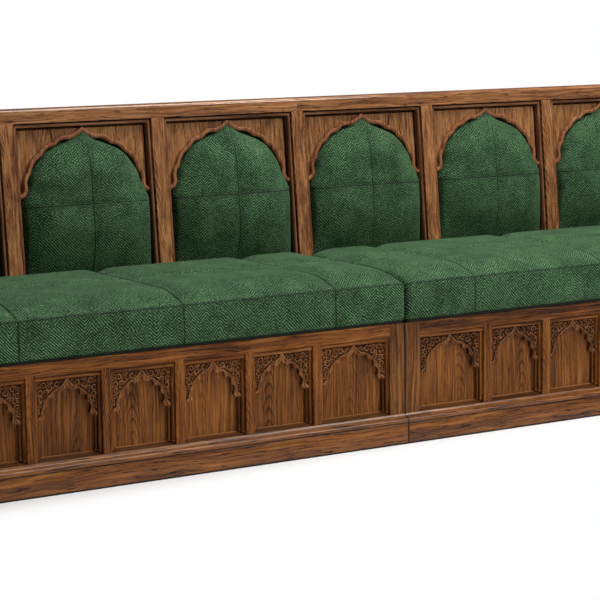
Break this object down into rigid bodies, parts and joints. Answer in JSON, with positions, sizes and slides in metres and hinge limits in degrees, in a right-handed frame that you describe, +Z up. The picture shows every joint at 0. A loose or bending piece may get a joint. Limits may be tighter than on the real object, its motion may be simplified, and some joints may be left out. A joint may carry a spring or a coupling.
{
  "type": "restaurant booth",
  "caption": "Long upholstered booth seat with carved arcaded oak panelling, a raked back of arched padded bays and lift-off green cushions.",
  "frame": {"origin": "on the floor, under the middle of the booth's overall length and depth", "axes": "+X along the seat, to the right of a person who faces the booth; +Y from the seat's front to the wall; +Z up"},
  "size_m": [2.881, 0.6474, 0.942],
  "materials": {
    "oak_base": "satin",
    "oak_back": "satin",
    "oak_panel": "satin",
    "oak_plinth": "satin",
    "oak_moulding": "satin",
    "oak_carved": "satin",
    "plywood": "matte",
    "green_fabric": "matte",
    "foam": "matte",
    "steel": "satin"
  },
  "bodies": {
    "booth": {"plinth_front_left": "oak_plinth", "plinth_front_right": "oak_plinth", "base_stiles_left": "oak_base", "base_stiles_right": "oak_base", "base_top_rail_left": "oak_base", "base_top_rail_right": "oak_base", "base_bottom_rail_left": "oak_base", "base_bottom_rail_right": "oak_base", "base_muntins_left": "oak_base", "base_muntins_right": "oak_base", "base_panels_left": "oak_panel", "base_panels_right": "oak_panel", "base_beads_left": "oak_moulding", "base_beads_right": "oak_moulding", "base_arch_frets_left": "oak_carved", "base_arch_frets_right": "oak_carved", "base_colonettes_left": "oak_moulding", "base_colonettes_right": "oak_moulding", "seat_ribs_left": "plywood", "seat_ribs_right": "plywood", "seat_bearers_left": "plywood", "seat_bearers_right": "plywood", "wall_rails_left": "plywood", "wall_rails_right": "plywood", "glue_blocks_left": "plywood", "glue_blocks_right": "plywood", "rear_cladding_left": "plywood", "rear_cladding_right": "plywood", "back_posts_left": "plywood", "back_posts_right": "plywood", "plinth_returns": "oak_plinth", "lower_end_panels": "oak_base", "upper_end_panels": "oak_back", "gang_bolts": "steel", "gang_nuts": "steel", "cap_rail": "oak_back", "back_stiles": "oak_back", "back_bottom_rail": "oak_back", "back_boards": "plywood", "back_spandrels": "oak_panel", "back_beads": "oak_moulding", "back_arch_mouldings": "oak_moulding", "back_pad_1": "green_fabric", "back_pad_2": "green_fabric", "back_pad_3": "green_fabric", "back_pad_4": "green_fabric", "back_pad_5": "green_fabric", "back_pad_6": "green_fabric", "pad_foams": "foam", "pad_boards": "plywood", "pad_screws": "steel"},
    "seat_left": {"seat_board_left": "plywood", "seat_blocks_left": "plywood", "seat_foam_left": "foam", "seat_cover_left": "green_fabric"},
    "seat_right": {"seat_board_right": "plywood", "seat_blocks_right": "plywood", "seat_foam_right": "foam", "seat_cover_right": "green_fabric"}
  },
  "joints": [
    {"name": "seat_lift_left", "type": "slide", "parent": "booth", "child": "seat_left", "axis": [0, -0.2588, 0.9659], "range_m": [0, 0.15]},
    {"name": "seat_lift_right", "type": "slide", "parent": "booth", "child": "seat_right", "axis": [0, -0.2588, 0.9659], "range_m": [0, 0.15]}
  ]
}
